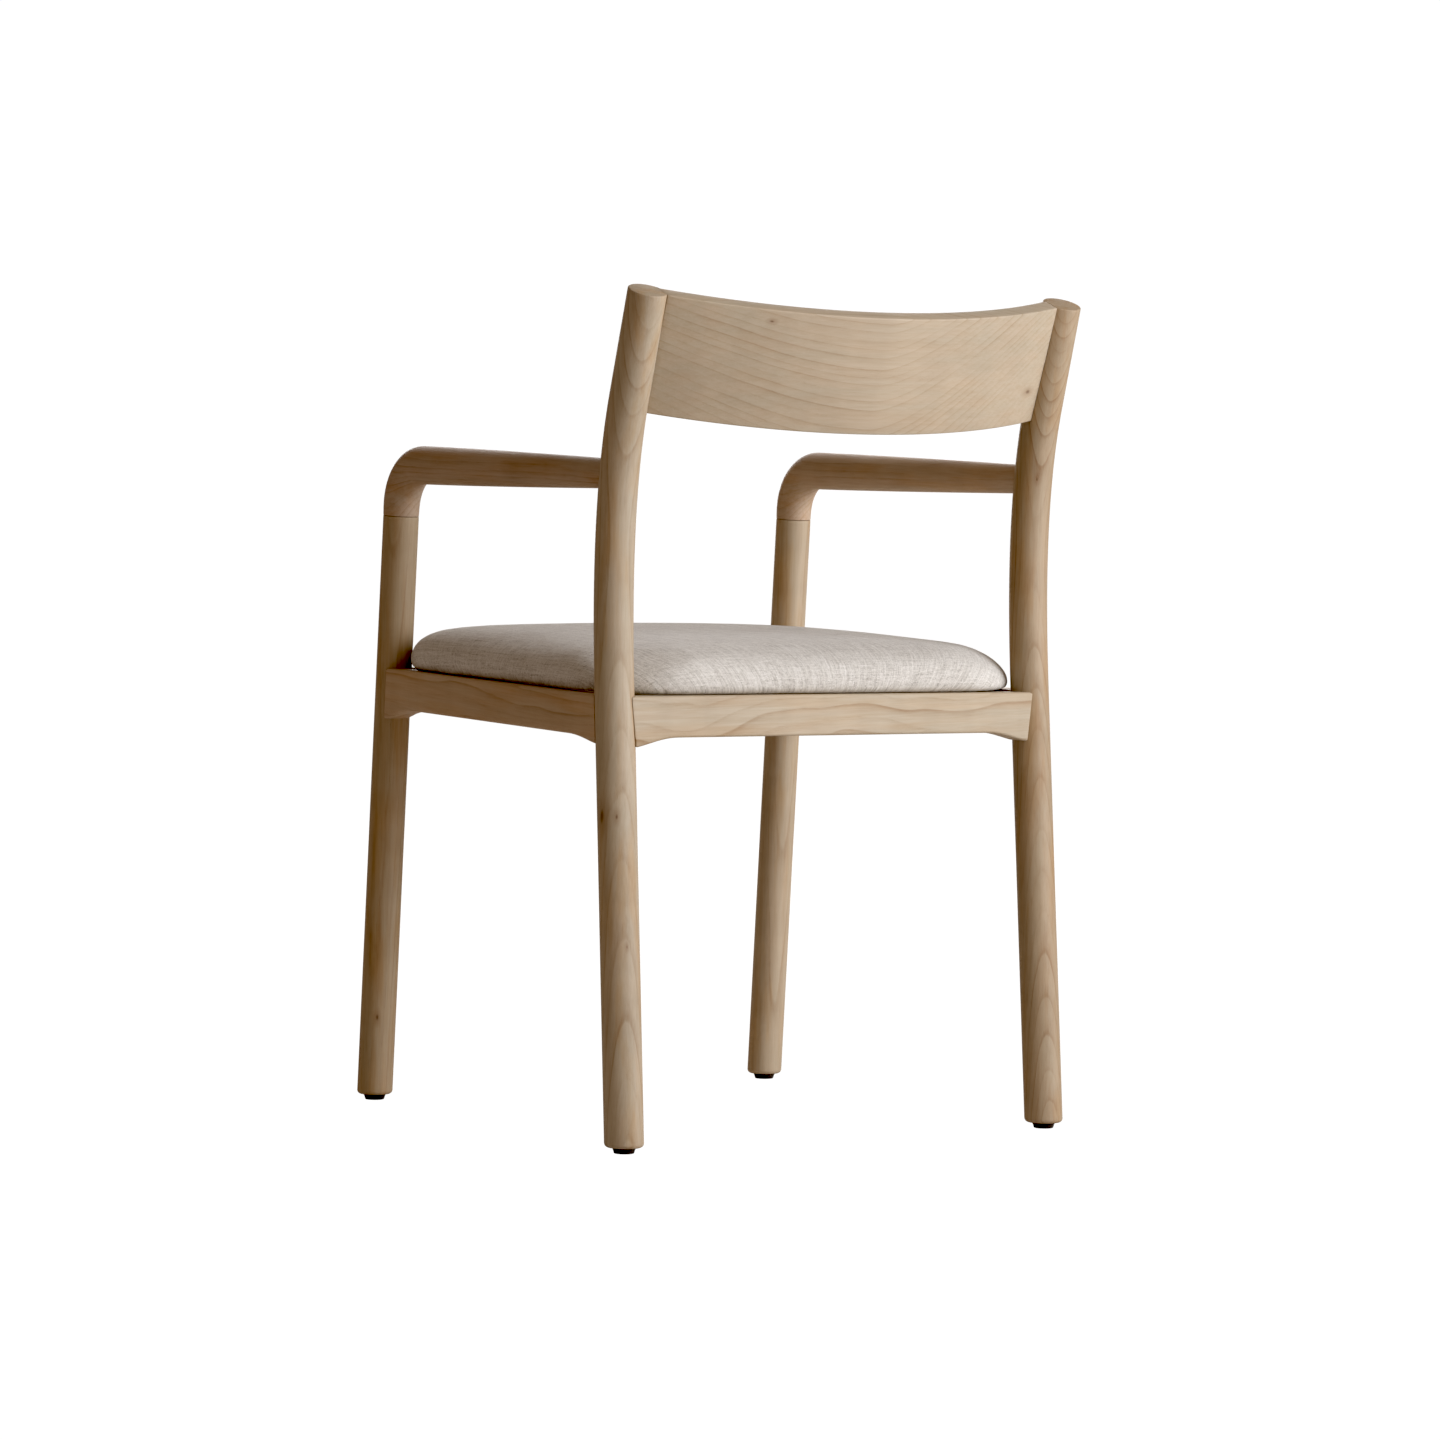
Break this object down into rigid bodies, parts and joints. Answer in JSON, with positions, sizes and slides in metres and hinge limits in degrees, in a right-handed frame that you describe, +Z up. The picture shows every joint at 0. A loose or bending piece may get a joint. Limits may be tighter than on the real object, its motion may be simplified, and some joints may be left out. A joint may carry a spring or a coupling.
{
  "type": "wooden armchair",
  "caption": "Pale ash armchair with round posts, bent round arms, a curved crest panel across the back and an upholstered linen-look seat pad.",
  "frame": {"origin": "on the floor, at the centre of the chair's bounding box seen from above", "axes": "+Z up; the sitter faces -Y, so +Y is the back of the chair; +X is the sitter's left"},
  "size_m": [0.5108, 0.5822, 0.8009],
  "materials": {
    "ash_wood": "pale ash, open grain, matt clear oil",
    "beech_wood": "plain unfinished beech joinery",
    "plywood": "unfinished plywood",
    "linen_cloth": "heathered grey-beige linen-look weave",
    "foam": "cut upholstery foam",
    "dust_cloth": "thin black non-woven lining",
    "black_plastic": "matt black moulded plastic",
    "steel": "plain zinc-plated steel"
  },
  "bodies": {
    "root": {"rear_post_left": "ash_wood", "rear_post_right": "ash_wood", "front_leg_left": "ash_wood", "front_leg_right": "ash_wood", "arm_left": "ash_wood", "arm_right": "ash_wood", "side_rail_left": "ash_wood", "side_rail_right": "ash_wood", "back_panel": "ash_wood", "rear_rail": "ash_wood", "front_rail": "ash_wood", "seat_cover": "linen_cloth", "seat_foam": "foam", "seat_board": "plywood", "dust_cover": "dust_cloth", "glide_rear_left": "black_plastic", "glide_front_left": "black_plastic", "glide_rear_right": "black_plastic", "glide_front_right": "black_plastic", "corner_block_rear_left": "beech_wood", "corner_block_front_left": "beech_wood", "corner_block_rear_right": "beech_wood", "corner_block_front_right": "beech_wood", "arm_dowel_front_left": "beech_wood", "arm_dowel_rear_left": "beech_wood", "panel_dowel_left_upper": "beech_wood", "panel_dowel_left_lower": "beech_wood", "arm_dowel_front_right": "beech_wood", "arm_dowel_rear_right": "beech_wood", "panel_dowel_right_upper": "beech_wood", "panel_dowel_right_lower": "beech_wood", "rail_tenon_rear_left_cross": "beech_wood", "rail_tenon_rear_left_side": "beech_wood", "rail_tenon_front_left_cross": "beech_wood", "rail_tenon_front_left_side": "beech_wood", "rail_tenon_rear_right_cross": "beech_wood", "rail_tenon_rear_right_side": "beech_wood", "rail_tenon_front_right_cross": "beech_wood", "rail_tenon_front_right_side": "beech_wood", "glide_nail_rear_left": "steel", "glide_nail_front_left": "steel", "glide_nail_rear_right": "steel", "glide_nail_front_right": "steel", "rail_screw_rear_left_cross": "steel", "rail_screw_rear_left_side": "steel", "seat_screw_rear_left": "steel", "rail_screw_front_left_cross": "steel", "rail_screw_front_left_side": "steel", "seat_screw_front_left": "steel", "rail_screw_rear_right_cross": "steel", "rail_screw_rear_right_side": "steel", "seat_screw_rear_right": "steel", "rail_screw_front_right_cross": "steel", "rail_screw_front_right_side": "steel", "seat_screw_front_right": "steel"}
  },
  "joints": []
}
